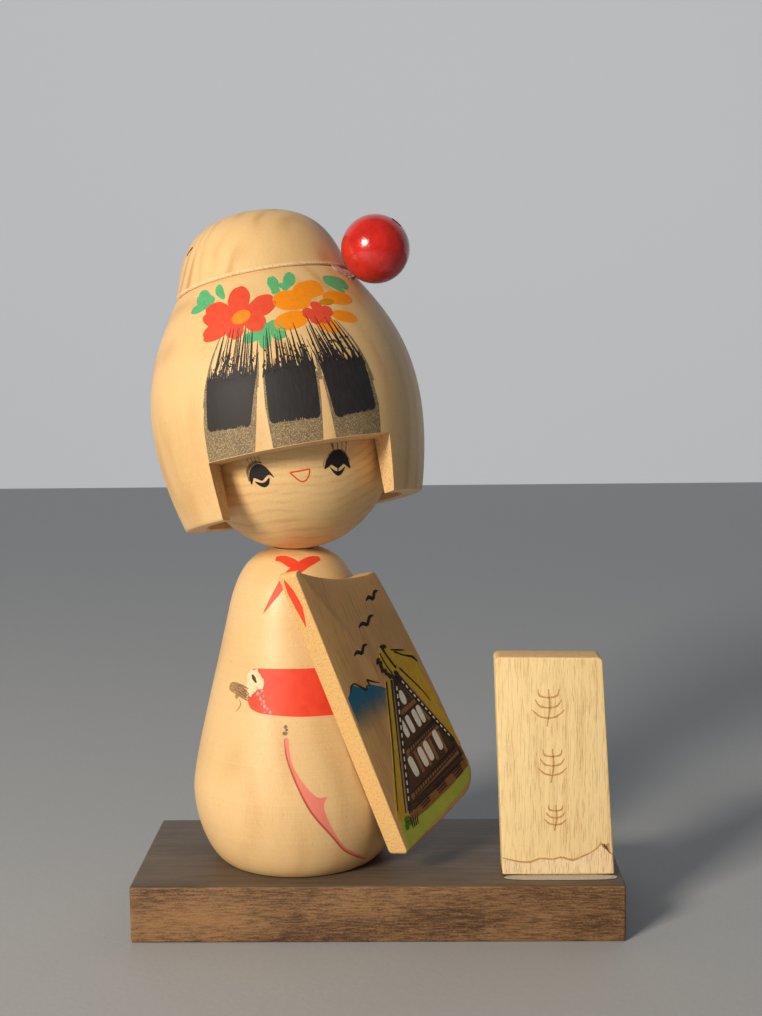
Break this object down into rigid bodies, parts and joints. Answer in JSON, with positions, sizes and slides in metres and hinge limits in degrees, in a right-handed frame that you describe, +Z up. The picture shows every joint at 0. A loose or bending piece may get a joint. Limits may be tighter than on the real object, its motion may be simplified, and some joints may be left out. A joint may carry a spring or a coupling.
{
  "type": "kokeshi doll",
  "caption": "Wooden kokeshi doll on a plinth: turned body, turning head with a hollow bob and top knot, lacquered hair bead, sleeve board and sign board.",
  "frame": {"origin": "middle of the plinth's underside", "axes": "+Z up, +X along the plinth from the doll to the sign board, the doll faces -Y"},
  "size_m": [0.12, 0.0681, 0.1775],
  "materials": {
    "plinth_stain": "dark stained sawn board, satin top and rough front",
    "steel": "plain wire and screw steel",
    "turned_wood": "pale turned wood, thin satin varnish",
    "dowel_wood": "bare wood",
    "red_lacquer": "brushed glossy red lacquer over wood",
    "sleeve_wood": "warm brown varnished board, paler grainy edges",
    "sign_wood": "pale open-pored board, unfinished"
  },
  "bodies": {
    "stand": {"base_plinth": "plinth_stain", "foot_screw": "steel", "doll_body": "turned_wood", "neck_dowel": "dowel_wood", "sleeve_board": "sleeve_wood", "sign_plaque": "sign_wood"},
    "head": {"face_ball": "turned_wood", "hair_bob": "turned_wood", "top_knot": "turned_wood", "knot_dowel": "dowel_wood", "hair_bead": "red_lacquer", "bead_pin": "steel"}
  },
  "joints": [
    {"name": "head_turn", "type": "hinge", "parent": "stand", "child": "head", "pos_m": [-0.0202, 0, 0.1174], "axis": [0, 0, 1], "continuous": true}
  ]
}
